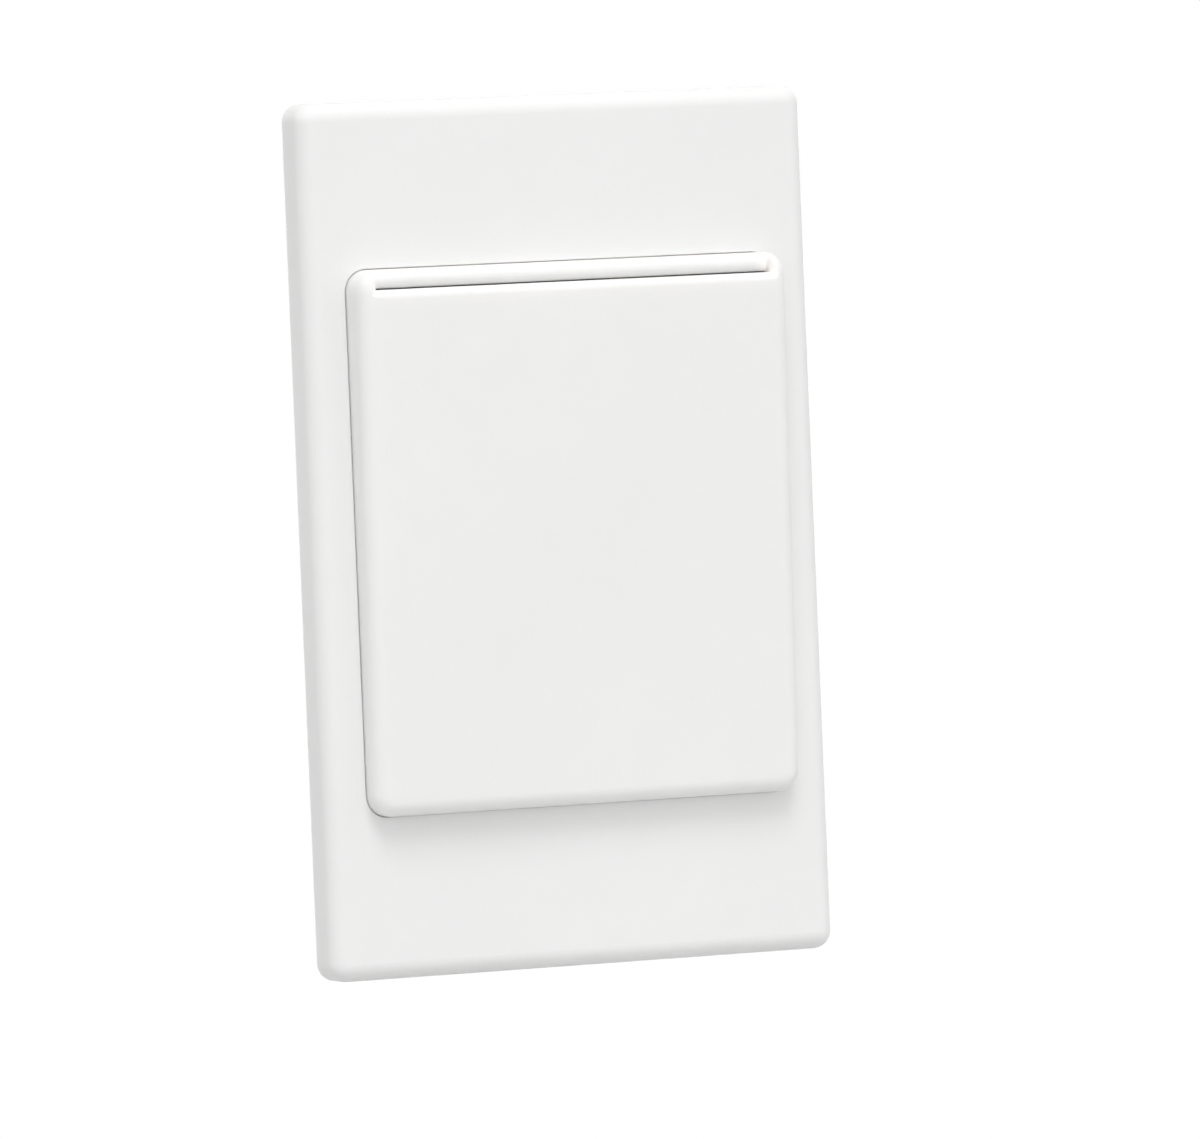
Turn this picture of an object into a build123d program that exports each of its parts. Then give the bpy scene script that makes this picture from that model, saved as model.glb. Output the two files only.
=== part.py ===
from build123d import *
import math
import os

os.makedirs("parts", exist_ok=True)

# A hotel room's key card switch: a wall plate with a card pocket, and behind it
# a see-saw lever that works a snap switch when a card stands in the pocket.
# Millimetres. X runs to the right, Y into the wall and Z up. The origin lies on
# the wall's surface, midway between the two wall screw holes.

# Cover plate
plate_height = 116.0
plate_side_margin = 5.6
plate_depth = 6.1
plate_edge = 2.3
plate_corner_extra = 0.15
plate_wall = 2.0
plate_face = 2.2
plate_rib = 1.2
rib_spacing = 38.0
rib_play = 0.3
rib_end_play = 0.5
lug_length = 7.0
lug_reach = 0.8
lug_thickness = 1.0
lug_height = 30.0
prise_width = 8.0
prise_depth = 1.2
smallest_corner = 0.5

# Mounting grid
grid_thickness = 2.4
grid_play = 0.5
grid_corner = 2.0
grid_rim = 1.0
grid_rim_height = 1.1
grid_opening_rim = 1.05
grid_opening_margin = 3.0
wall_screw_spacing = 84.0
wall_screw_radius = 2.1
wall_screw_head_radius = 4.0
sink_depth = 1.2

# Card holder
holder_height = 72.2
holder_drop = 0.25
holder_corner = 2.9
holder_edge = 2.0
holder_proud_top = 5.65
holder_proud_bottom = 3.6
holder_side_wall = 2.3
holder_top_wall = 2.5
holder_bottom_wall = 2.4
front_wall = 1.3
crest_round = 1.15
strip_round = 1.7
slot_height = 0.16
flange_width = 1.9
flange_play = 0.1
seam = 0.13

# Card and its channel
card_width = 54.0
card_side_play = 0.4
card_gap = 1.0
rail_width = 0.9
lead_in = 0.6
guide_play = 0.3
guide_wall = 1.4
ledge_width = 30.0
ledge_height = 7.0
ledge_play = 0.15

# Lever, pin and spring
tip_travel = 3.6
tip_play = 0.35
tip_drop = 0.4
tip_share = 0.3
nose_round = 0.7
pivot_depth = 8.0
arm_width = 6.0
arm_play = 0.6
hub_radius = 2.4
hub_width = 10.0
underside_drop = 1.2
heel_length = 2.0
rear_arm_length = 6.0
rear_arm_width = 7.0
rear_arm_drop = 0.4
pad_height = 1.5
pin_radius = 1.0
pin_fit = 0.05
ear_thickness = 2.0
ear_play = 0.4
ear_reach = 3.0
ear_height = 6.0
keeper_play = 0.1
keeper_height = 3.2
spring_inset = 5.4
spring_radius = 2.2
spring_wire = 0.5
spring_turns = 4.0
spring_play = 0.02
spring_sides = 8
spigot_radius = 1.3
spigot_height = 1.0

# Snap switch
switch_width = 27.8
switch_height = 15.9
switch_thickness = 10.3
switch_wall = 1.2
switch_corner = 0.6
switch_hole_inset = 2.8
switch_hole_radius = 1.55
switch_boss_radius = 2.5
plunger_arm = 3.6
plunger_inset = 17.4
plunger_radius = 1.0
plunger_fit = 0.08
plunger_reach = 1.7
plunger_rest_gap = 0.1
plunger_collar_radius = 1.6
plunger_collar_height = 0.8
plunger_collar_gap = 0.02
plunger_length = 8.35
blade_inset = 3.6
blade_rise = 7.3
blade_thickness = 0.3
blade_width = 3.6
blade_tail = 0.3
blade_end_play = 0.4
blade_seat_length = 0.6
blade_seat_play = 0.1
contact_inset = 6.8
contact_radius = 1.2
contact_height = 0.5
contact_rest_gap = 0.02
contact_gap = 0.65
strip_thickness = 0.8
strip_width = 4.75
strip_play = 0.05
com_drop = 1.5
top_tab_length = 7.5
side_tab_length = 6.6

# Rear housing
housing_width = 48.0
housing_bottom_margin = 0.95
housing_top_margin = 4.35
housing_depth = 21.0
housing_wall = 1.6
housing_corner = 2.0
housing_edge = 1.2
boss_radius = 2.8
boss_length = 9.0
boss_sink = 0.1

# Supply terminals and their tray
terminal_spacing = 14.0
terminal_width = 7.0
terminal_depth = 10.0
terminal_height = 9.0
terminal_edge = 0.5
terminal_headroom = 5.4
terminal_play = 0.1
wire_radius = 1.6
wire_window = 1.5
cheek_thickness = 1.2
shelf_depth = 5.0
link_overlap = 4.6
link_bend_drop = 3.0

# Screws
body_screw_radius = 1.45
body_screw_head = 2.7
body_screw_head_height = 1.7
body_screw_seat = 1.8
body_screw_bite = 8.0
switch_screw_radius = 1.4
switch_screw_head = 2.5
switch_screw_head_height = 1.7
switch_screw_bite = 2.9
terminal_screw_radius = 1.7
terminal_screw_head = 2.6
terminal_screw_head_height = 1.6
terminal_screw_lift = 0.5
thread_play = 0.05
hole_play = 0.2
driver_play = 0.3
recess_width = 0.8
recess_depth = 0.9
cross_share = 0.55
screw_edge_share = 0.3

# Cuts run this far past what they cut.
cut_margin = 1.0

# Places that follow from the sizes above
pocket_half = card_width / 2 + card_side_play + rail_width + guide_play
holder_width = 2 * (pocket_half + holder_side_wall)
plate_width = holder_width + 2 * plate_side_margin
plate_corner = plate_edge + plate_corner_extra
plate_front = -plate_depth
plate_inside = plate_front + plate_face
front_limit = plate_front - max(holder_proud_top, holder_proud_bottom) - cut_margin
grid_front = -grid_thickness
grid_width = plate_width - 2 * (plate_wall + grid_play)
grid_height = plate_height - 2 * (plate_wall + grid_play)
holder_top = holder_height / 2 - holder_drop
holder_bottom = -holder_height / 2 - holder_drop
flange_front = plate_inside + flange_play
pocket_top = holder_top - holder_top_wall
pocket_bottom = holder_bottom + holder_bottom_wall
crest = pocket_top - slot_height
card_floor = pocket_bottom + ledge_height
pivot_height = card_floor + tip_travel / 2
housing_bottom = pocket_bottom + housing_bottom_margin
housing_top = pocket_top - housing_top_margin
housing_inside = housing_width / 2 - housing_wall
housing_back = housing_depth - housing_wall
housing_floor = housing_bottom + housing_wall
housing_ceiling = housing_top - housing_wall
body_screw_hole = body_screw_radius + hole_play
body_screw_side = housing_inside - boss_radius + boss_sink
body_screw_low = housing_floor + boss_radius - boss_sink
body_screw_high = housing_ceiling - boss_radius + boss_sink
opening_half = body_screw_side - body_screw_hole - grid_opening_rim
opening_bottom = housing_bottom + grid_opening_margin
opening_top = housing_top - grid_opening_margin
window_half = arm_width / 2 + arm_play
window_low = pivot_height - tip_travel - tip_drop - arm_play
window_high = pivot_height + tip_travel / 2 + arm_play
plunger_depth = pivot_depth + plunger_arm
plunger_tip = pivot_height + pad_height + plunger_rest_gap
switch_left = -plunger_inset
switch_right = switch_left + switch_width
switch_bottom = plunger_tip + plunger_reach
switch_top = switch_bottom + switch_height
switch_front = plunger_depth - switch_thickness / 2
switch_back = plunger_depth + switch_thickness / 2
blade_side = switch_left + blade_inset
blade_height = switch_bottom + blade_rise
contact_side = switch_right - contact_inset
contact_reach = blade_thickness / 2 + contact_height
no_height = blade_height + contact_reach + contact_gap + contact_height + strip_thickness / 2
nc_height = blade_height - contact_reach - contact_rest_gap - contact_height - strip_thickness / 2
com_side = blade_side - blade_end_play - strip_thickness / 2
no_end = switch_right + side_tab_length
terminal_bottom = housing_ceiling - terminal_headroom - terminal_height
terminal_front = housing_back - terminal_depth
terminal_screw_depth = housing_back - terminal_depth / 2
wire_height = terminal_bottom + terminal_height / 2
link_bend = terminal_bottom - link_bend_drop
ear_inner = hub_width / 2 + ear_play
ear_middle = ear_inner + ear_thickness / 2
pin_half = ear_inner + ear_thickness


def front_at(z):
    # The holder's front leans: it stands further out at its top.
    share = (z - holder_bottom) / holder_height
    return plate_front - holder_proud_bottom - share * (holder_proud_top - holder_proud_bottom)


def behind_front(z, depth):
    return front_at(z) + depth


def prism(outline, back, front):
    # Extrudes an outline drawn in X and Z from one depth forward to another.
    return extrude(Plane.XZ.offset(-back) * outline, amount=back - front)


def block(x0, x1, y0, y1, z0, z1):
    middle = Location(((x0 + x1) / 2, (y0 + y1) / 2, (z0 + z1) / 2))
    return middle * Box(x1 - x0, y1 - y0, z1 - z0)


def side_prism(points, half_width):
    # Extrudes a side view, given as (y, z) points, equally to both sides.
    outline = Plane.YZ * make_face(Polyline(*points, close=True))
    return extrude(outline, amount=half_width, both=True)


def rod_x(radius, y, z, x0, x1):
    return Location(((x0 + x1) / 2, y, z), (0, 90, 0)) * Cylinder(radius, x1 - x0)


def rod_y(radius, x, z, y0, y1):
    return Location((x, (y0 + y1) / 2, z), (90, 0, 0)) * Cylinder(radius, y1 - y0)


def rod_z(radius, x, y, z0, z1):
    return Location((x, y, (z0 + z1) / 2)) * Cylinder(radius, z1 - z0)


def front_edges(solid):
    return solid.faces().sort_by(Axis.Y)[0].edges()


def back_edges(solid):
    return solid.faces().sort_by(Axis.Y)[-1].edges()


def leaning_slab(half_width, z0, z1, back, depth):
    # Fills from a depth forward to the given distance behind the leaning front.
    points = [(back, z0), (behind_front(z0, depth), z0), (behind_front(z1, depth), z1), (back, z1)]
    return side_prism(points, half_width)


def inner_corner(outer, wall):
    return max(outer - wall, smallest_corner)


def recessed_screw(shank_radius, shank_length, head_radius, head_height, cross):
    # Stands on its shank with the head's underside at zero height.
    screw = Pos(0, 0, head_height / 2) * Cylinder(head_radius, head_height)
    head_edge = screw.edges().filter_by(GeomType.CIRCLE).sort_by(Axis.Z)[-1]
    screw = chamfer(head_edge, head_height * screw_edge_share)
    screw += Pos(0, 0, -shank_length / 2) * Cylinder(shank_radius, shank_length)
    tip_edge = screw.edges().filter_by(GeomType.CIRCLE).sort_by(Axis.Z)[0]
    screw = chamfer(tip_edge, shank_radius * screw_edge_share)
    length = 2 * head_radius * (cross_share if cross else 1)
    slot = Pos(0, 0, head_height) * Box(length, recess_width, 2 * recess_depth)
    screw -= slot
    if cross:
        screw -= Rot(0, 0, 90) * slot
    return screw


def body_screw_places():
    return [(s * body_screw_side, z) for z in (body_screw_high, body_screw_low) for s in (-1, 1)]


def cover_plate():
    outline = RectangleRounded(plate_width, plate_height, plate_corner)
    plate = prism(outline, 0, plate_front)
    plate = fillet(front_edges(plate), plate_edge)
    inner_width = plate_width - 2 * plate_wall
    inner_height = plate_height - 2 * plate_wall
    inner = RectangleRounded(inner_width, inner_height, inner_corner(plate_corner, plate_wall))
    plate -= prism(inner, 0, plate_inside)
    rib_start = holder_height / 2 + holder_drop + flange_width + seam
    rib_end = grid_height / 2 - grid_rim - rib_end_play
    rib_front = grid_front - rib_play
    for side in (-1, 1):
        for end in (-1, 1):
            x = side * rib_spacing / 2
            z0, z1 = sorted((end * rib_start, end * rib_end))
            plate += block(x - plate_rib / 2, x + plate_rib / 2, plate_inside, rib_front, z0, z1)
    hole = RectangleRounded(holder_width + 2 * seam, holder_height + 2 * seam, holder_corner + seam)
    plate -= prism(Pos(0, -holder_drop) * hole, 0, plate_front)
    lug_inner = grid_width / 2 - lug_reach
    for side in (-1, 1):
        for z in (-lug_height, lug_height):
            x0, x1 = sorted((side * inner_width / 2, side * lug_inner))
            plate += block(x0, x1, -lug_thickness, 0, z - lug_length / 2, z + lug_length / 2)
    bottom = -plate_height / 2
    plate -= block(-prise_width / 2, prise_width / 2, -prise_depth, 0, bottom, bottom + plate_wall)
    return plate


def grid_plate():
    grid = prism(RectangleRounded(grid_width, grid_height, grid_corner), 0, grid_front)
    rim = RectangleRounded(grid_width, grid_height, grid_corner)
    rim -= RectangleRounded(
        grid_width - 2 * grid_rim, grid_height - 2 * grid_rim, inner_corner(grid_corner, grid_rim)
    )
    grid += prism(rim, grid_front, grid_front - grid_rim_height)
    opening = RectangleRounded(2 * opening_half, opening_top - opening_bottom, grid_corner)
    grid -= prism(Pos(0, (opening_top + opening_bottom) / 2) * opening, 0, grid_front)
    for z in (-wall_screw_spacing / 2, wall_screw_spacing / 2):
        grid -= rod_y(wall_screw_radius, 0, z, grid_front, 0)
        sink = Cone(wall_screw_radius, wall_screw_head_radius, sink_depth)
        grid -= Location((0, grid_front + sink_depth / 2, z), (90, 0, 0)) * sink
    notch_length = lug_length + 2 * hole_play
    notch_depth = lug_thickness + hole_play
    notch_inner = grid_width / 2 - lug_reach - hole_play
    for side in (-1, 1):
        for z in (-lug_height, lug_height):
            x0, x1 = sorted((side * grid_width / 2, side * notch_inner))
            grid -= block(x0, x1, -notch_depth, 0, z - notch_length / 2, z + notch_length / 2)
    for x, z in body_screw_places():
        grid -= rod_y(body_screw_hole, x, z, grid_front, 0)
    return grid


def cheek_round(side):
    # The notch's cheeks are rounded like the crest between them, and run into it.
    inner = side * pocket_half
    outer = inner + side * crest_round
    front = front_at(crest) + crest_round
    low = crest - crest_round
    x0, x1 = sorted((inner, outer))
    waste = block(x0, x1, front_limit, front, low, holder_top + cut_margin)
    waste -= rod_z(crest_round, outer, front, low, holder_top + cut_margin)
    return waste - rod_x(crest_round, front, low, x0, x1)


def card_holder():
    middle = Pos(0, -holder_drop)
    outline = middle * RectangleRounded(holder_width, holder_height, holder_corner)
    above = holder_top + cut_margin
    lean = leaning_slab(holder_width, holder_bottom - cut_margin, above, grid_front, 0)
    holder = prism(outline, grid_front, front_limit) & lean
    holder = fillet(front_edges(holder), holder_edge)
    flange = RectangleRounded(
        holder_width + 2 * flange_width, holder_height + 2 * flange_width, holder_corner + flange_width
    )
    holder += prism(middle * flange, grid_front, flange_front)
    holder -= leaning_slab(pocket_half, pocket_bottom, pocket_top, grid_front, front_wall)
    strip_front = behind_front(pocket_top, front_wall + card_gap)
    holder -= block(-pocket_half, pocket_half, front_limit, strip_front, crest, above)
    crest_edge = holder.edges().filter_by(Axis.X).sort_by_distance((0, front_at(crest), crest))[0]
    holder = fillet(crest_edge, crest_round)
    strip_edge = holder.edges().filter_by(Axis.X).sort_by_distance((0, strip_front, holder_top))[0]
    holder = fillet(strip_edge, strip_round)
    for side in (-1, 1):
        holder -= cheek_round(side)
    return holder


def guide_rail(side, low, high):
    # The card's edge runs beside this rail, past a sloped top that leads it in.
    rail = leaning_slab(rail_width / 2, low, high, grid_front, front_wall + ledge_play)
    rail -= block(-rail_width, rail_width, front_limit, 0, crest, high + cut_margin)
    corner = (-side * rail_width / 2, grid_front, crest)
    rail = chamfer(rail.edges().filter_by(Axis.Y).sort_by_distance(corner)[0], lead_in)
    return Pos(side * (card_width / 2 + card_side_play + rail_width / 2), 0, 0) * rail


def guide_hollow(half, low, high):
    # What is open behind the guide's skin, round the lever's frame and the screws' pockets.
    skin = front_wall + card_gap + guide_wall
    hollow = leaning_slab(half - guide_wall, low + guide_wall, high - guide_wall, grid_front, skin)
    side = window_half + guide_wall
    hollow -= block(-side, side, front_limit, 0, window_low - guide_wall, window_high + guide_wall)
    for x, z in body_screw_places():
        hollow -= rod_y(body_screw_head + driver_play + guide_wall, x, z, front_limit, 0)
    keeper_half = ear_thickness / 2 - keeper_play
    for x in (-ear_middle, ear_middle):
        hollow -= block(x - keeper_half, x + keeper_half, front_limit, 0, window_low, window_high)
    return hollow


def card_guide():
    half = pocket_half - guide_play
    low = pocket_bottom + guide_play
    high = pocket_top - guide_play
    guide = leaning_slab(half, low, high, grid_front, front_wall + card_gap)
    for side in (-1, 1):
        guide += guide_rail(side, low, high)
    guide += leaning_slab(ledge_width / 2, low, card_floor, grid_front, front_wall + ledge_play)
    guide -= guide_hollow(half, low, high)
    guide -= block(-window_half, window_half, front_limit, 0, window_low, window_high)
    seat = grid_front - body_screw_seat
    for x, z in body_screw_places():
        guide -= rod_y(body_screw_head + driver_play, x, z, front_limit, seat)
        guide -= rod_y(body_screw_hole, x, z, seat, 0)
    # Two keepers reach back and hold the lever's pin down in the housing's ears.
    shoulder = pivot_depth - ear_reach - keeper_play
    nose = pivot_depth - pin_radius - pin_fit - keeper_play
    slim = pin_radius - keeper_play
    thick = keeper_height / 2
    for x in (-ear_middle, ear_middle):
        x0, x1 = x - ear_thickness / 2 + keeper_play, x + ear_thickness / 2 - keeper_play
        guide += block(x0, x1, grid_front - guide_wall, shoulder, pivot_height - thick, pivot_height + thick)
        guide += block(x0, x1, shoulder, nose, pivot_height - slim, pivot_height + slim)
    return guide


def rear_housing():
    height = housing_top - housing_bottom
    middle = Pos(0, (housing_top + housing_bottom) / 2)
    outline = middle * RectangleRounded(housing_width, height, housing_corner)
    housing = prism(outline, housing_depth, 0)
    housing = fillet(back_edges(housing), housing_edge)
    inner = RectangleRounded(
        2 * housing_inside, housing_ceiling - housing_floor, inner_corner(housing_corner, housing_wall)
    )
    housing -= prism(middle * inner, housing_back, 0)
    for x, z in body_screw_places():
        housing += rod_y(boss_radius, x, z, 0, boss_length)
        housing -= rod_y(body_screw_radius + thread_play, x, z, 0, boss_length)
    ear_top = pivot_height + ear_height / 2
    slot_half = pin_radius + pin_fit
    for x in (-ear_middle, ear_middle):
        x0, x1 = x - ear_thickness / 2, x + ear_thickness / 2
        ear_front = pivot_depth - ear_reach
        housing += block(x0, x1, ear_front, housing_back, housing_floor, ear_top)
        housing -= rod_x(slot_half, pivot_depth, pivot_height, x0, x1)
        housing -= block(x0, x1, ear_front, pivot_depth, pivot_height - slot_half, pivot_height + slot_half)
    for x, z in switch_screw_places():
        housing += rod_y(switch_boss_radius, x, z, switch_back, housing_back)
        depth = switch_back + switch_screw_bite + thread_play
        housing -= rod_y(switch_screw_radius + thread_play, x, z, switch_back, depth)
    for x in terminal_places().values():
        reach = wire_radius + wire_window
        low, high = wire_height - reach, wire_height + reach
        housing -= block(x - reach, x + reach, housing_back, housing_depth, low, high)
        driver = terminal_screw_head + driver_play
        housing -= rod_z(driver, x, terminal_screw_depth, housing_ceiling, housing_top)
    spigot = (0, pivot_depth - spring_inset)
    housing += rod_z(spigot_radius, *spigot, housing_floor, housing_floor + spigot_height)
    return housing


def card_lever():
    high = tip_travel / 2
    tip = behind_front(pivot_height, front_wall) + tip_play - pivot_depth
    points = [
        (tip, -tip_drop),
        (tip, high),
        (tip * (1 - tip_share), high),
        (0, pad_height),
        (rear_arm_length, pad_height),
        (rear_arm_length, -rear_arm_drop),
        (heel_length, -underside_drop),
        (-spring_inset - spring_radius, -underside_drop),
    ]
    lever = side_prism(points, arm_width / 2)
    nose = lever.edges().filter_by(Axis.X).sort_by_distance((0, tip, high))[0]
    lever = fillet(nose, nose_round)
    rear = [
        (0, -underside_drop),
        (0, pad_height),
        (rear_arm_length, pad_height),
        (rear_arm_length, -rear_arm_drop),
    ]
    lever += side_prism(rear, rear_arm_width / 2)
    lever += rod_x(hub_radius, 0, 0, -hub_width / 2, hub_width / 2)
    lever += rod_z(spigot_radius, 0, -spring_inset, -underside_drop - spigot_height, -underside_drop)
    lever -= rod_x(pin_radius + pin_fit, 0, 0, -hub_width / 2, hub_width / 2)
    return Pos(0, pivot_depth, pivot_height) * lever


def lever_pin():
    return rod_x(pin_radius, pivot_depth, pivot_height, -pin_half, pin_half)


def return_spring():
    top = pivot_height - underside_drop - spring_play
    bottom = housing_floor + spring_play
    height = top - bottom - spring_wire
    path = Helix(pitch=height / spring_turns, height=height, radius=spring_radius - spring_wire / 2)
    section = Plane(origin=path @ 0, z_dir=path % 0) * RegularPolygon(spring_wire / 2, spring_sides)
    coil = sweep(section, path=path)
    return Pos(0, pivot_depth - spring_inset, bottom + spring_wire / 2) * coil


def switch_screw_places():
    low = (switch_left + switch_hole_inset, switch_bottom + switch_hole_inset)
    high = (switch_right - switch_hole_inset, switch_top - switch_hole_inset)
    return [low, high]


def strip_sides(clearance):
    # The switch's metal strips all lie across the plunger's line.
    half = strip_width / 2 + clearance
    return plunger_depth - half, plunger_depth + half


def bent_strip(points, clearance=0.0):
    # A flat strip that runs square from point to point, given as (x, z).
    half = strip_thickness / 2 + clearance
    y0, y1 = strip_sides(clearance)
    strip = None
    last = len(points) - 2
    for i, ((xa, za), (xb, zb)) in enumerate(zip(points, points[1:])):
        x0, x1 = min(xa, xb), max(xa, xb)
        z0, z1 = min(za, zb), max(za, zb)
        start = half if i > 0 else 0.0
        finish = half if i < last else 0.0
        if abs(xb - xa) > abs(zb - za):
            left, right = (start, finish) if xb > xa else (finish, start)
            piece = block(x0 - left, x1 + right, y0, y1, za - half, za + half)
        else:
            low, high = (start, finish) if zb > za else (finish, start)
            piece = block(xa - half, xa + half, y0, y1, z0 - low, z1 + high)
        strip = piece if strip is None else strip + piece
    return strip


def com_route():
    return [(com_side, blade_height - com_drop), (com_side, switch_top + top_tab_length)]


def side_route(height):
    return [(contact_side - contact_radius, height), (no_end, height)]


def switch_shell(front, back):
    # A block of the switch's outline, with rounded corners.
    shell = block(switch_left, switch_right, front, back, switch_bottom, switch_top)
    return fillet(shell.edges().filter_by(Axis.Y), switch_corner)


def switch_case():
    shell_front = switch_front + switch_wall
    case = switch_shell(shell_front, switch_back)
    case -= block(
        switch_left + switch_wall,
        switch_right - switch_wall,
        shell_front,
        switch_back - switch_wall,
        switch_bottom + switch_wall,
        switch_top - switch_wall,
    )
    for x, z in switch_screw_places():
        case += rod_y(switch_boss_radius, x, z, shell_front, switch_back)
        case -= rod_y(switch_hole_radius, x, z, shell_front, switch_back)
    bore = plunger_radius + plunger_fit
    case -= rod_z(bore, 0, plunger_depth, switch_bottom, switch_bottom + switch_wall)
    case -= bent_strip([(com_side, blade_height), (com_side, switch_top)], strip_play)
    for height in (no_height, nc_height):
        case -= bent_strip([(contact_side, height), (switch_right, height)], strip_play)
    return case


def switch_cover():
    cover = switch_shell(switch_front, switch_front + switch_wall)
    for x, z in switch_screw_places():
        cover -= rod_y(switch_hole_radius, x, z, switch_front, switch_front + switch_wall)
    return cover


def switch_plunger():
    collar_bottom = switch_bottom + switch_wall + plunger_collar_gap
    collar_top = collar_bottom + plunger_collar_height
    dome = plunger_tip + plunger_radius
    plunger = Location((0, plunger_depth, dome)) * Sphere(plunger_radius)
    plunger += rod_z(plunger_radius, 0, plunger_depth, dome, plunger_tip + plunger_length)
    plunger += rod_z(plunger_collar_radius, 0, plunger_depth, collar_bottom, collar_top)
    return plunger


def switch_blade():
    half = blade_thickness / 2
    y0, y1 = plunger_depth - blade_width / 2, plunger_depth + blade_width / 2
    end = contact_side + contact_radius
    blade = block(blade_side - blade_tail, end, y0, y1, blade_height - half, blade_height + half)
    low, high = blade_height - contact_reach, blade_height + contact_reach
    return blade + rod_z(contact_radius, contact_side, plunger_depth, low, high)


def switch_terminal_com():
    # A foot bent from the strip carries the blade's hinge end.
    strip = bent_strip(com_route())
    seat = blade_height - blade_thickness / 2 - blade_seat_play
    y0, y1 = strip_sides(0.0)
    foot_end = blade_side + blade_seat_length
    return strip + block(com_side, foot_end, y0, y1, seat - strip_thickness, seat)


def side_terminal(height, contact_way):
    # The fixed contact stands up from the strip, or hangs down from it.
    strip = bent_strip(side_route(height))
    face = height + contact_way * strip_thickness / 2
    z0, z1 = sorted((face, face + contact_way * contact_height))
    return strip + rod_z(contact_radius, contact_side, plunger_depth, z0, z1)


def terminal_places():
    return {"line": -terminal_spacing, "loop": 0.0, "load": terminal_spacing}


def terminal_tray():
    # A shelf from wall to wall under the terminals, with a cheek at each of their sides.
    half = housing_inside - terminal_play
    bottom = terminal_bottom - cheek_thickness
    top = terminal_bottom + terminal_height
    tray = block(-half, half, housing_back - shelf_depth, housing_back, bottom, terminal_bottom)
    for x in terminal_places().values():
        for side in (-1, 1):
            near = x + side * (terminal_width / 2 + terminal_play)
            x0, x1 = sorted((near, near + side * cheek_thickness))
            tray += block(x0, x1, terminal_front + terminal_play, housing_back, bottom, top)
    return tray


def terminal_block(x):
    half = terminal_width / 2
    top = terminal_bottom + terminal_height
    brass = block(x - half, x + half, terminal_front, housing_back, terminal_bottom, top)
    brass = chamfer(brass.edges().filter_by(Axis.Y), terminal_edge)
    brass -= rod_y(wire_radius, x, wire_height, terminal_front, housing_back)
    brass -= rod_z(terminal_screw_radius + thread_play, x, terminal_screw_depth, wire_height, top)
    return brass


def terminal_screw(x):
    underside = terminal_bottom + terminal_height + terminal_screw_lift
    length = underside - wire_height - wire_radius - hole_play
    screw = recessed_screw(
        terminal_screw_radius, length, terminal_screw_head, terminal_screw_head_height, cross=False
    )
    return Location((x, terminal_screw_depth, underside)) * screw


def link_line():
    side = com_side - strip_thickness
    start = switch_top + top_tab_length - link_overlap
    target = terminal_places()["line"]
    return bent_strip([(side, start), (side, link_bend), (target, link_bend), (target, terminal_bottom)])


def link_load():
    height = no_height + strip_thickness
    side = no_end - strip_thickness / 2
    start = no_end - link_overlap
    target = terminal_places()["load"]
    return bent_strip([
        (start, height), (side, height), (side, link_bend), (target, link_bend), (target, terminal_bottom)
    ])


def body_screw(x, z):
    seat = grid_front - body_screw_seat
    screw = recessed_screw(
        body_screw_radius, body_screw_bite - seat, body_screw_head, body_screw_head_height, cross=True
    )
    return Location((x, seat, z), (90, 0, 0)) * screw


def switch_screw(x, z):
    length = switch_back + switch_screw_bite - switch_front
    screw = recessed_screw(
        switch_screw_radius, length, switch_screw_head, switch_screw_head_height, cross=True
    )
    return Location((x, switch_front, z), (90, 0, 0)) * screw


def all_nodes():
    nodes = {
        "cover_plate": cover_plate(),
        "grid_plate": grid_plate(),
        "card_holder": card_holder(),
        "card_guide": card_guide(),
        "rear_housing": rear_housing(),
        "card_lever": card_lever(),
        "lever_pin": lever_pin(),
        "return_spring": return_spring(),
        "switch_case": switch_case(),
        "switch_cover": switch_cover(),
        "switch_plunger": switch_plunger(),
        "switch_blade": switch_blade(),
        "switch_terminal_com": switch_terminal_com(),
        "switch_terminal_no": side_terminal(no_height, -1),
        "switch_terminal_nc": side_terminal(nc_height, 1),
        "link_line": link_line(),
        "link_load": link_load(),
        "terminal_tray": terminal_tray(),
    }
    for name, x in terminal_places().items():
        nodes["terminal_" + name] = terminal_block(x)
        nodes["terminal_screw_" + name] = terminal_screw(x)
    for number, (x, z) in enumerate(body_screw_places(), 1):
        nodes["body_screw_" + str(number)] = body_screw(x, z)
    for number, (x, z) in enumerate(switch_screw_places(), 1):
        nodes["switch_screw_" + str(number)] = switch_screw(x, z)
    return nodes


for name, solid in all_nodes().items():
    export_step(solid, "parts/" + name + ".step")

lever_reach = pivot_depth - behind_front(pivot_height, front_wall) - tip_play
lever_angle = 2 * math.atan(tip_travel / 2 / lever_reach)
stretch = 1 / math.cos(lever_angle) - 1
plunger_lift = (pad_height + plunger_radius) * stretch + plunger_arm * math.tan(lever_angle)
print("lever turns", round(math.degrees(lever_angle), 3), "degrees")
print("lever's pin at", pivot_depth, round(pivot_height, 3))
print("plunger lifts", round(plunger_lift, 4))
print("blade's hinge at", round(blade_side, 3), plunger_depth, round(blade_height, 3))
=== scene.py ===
import math
import bpy
from mathutils import Matrix, Vector


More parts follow.
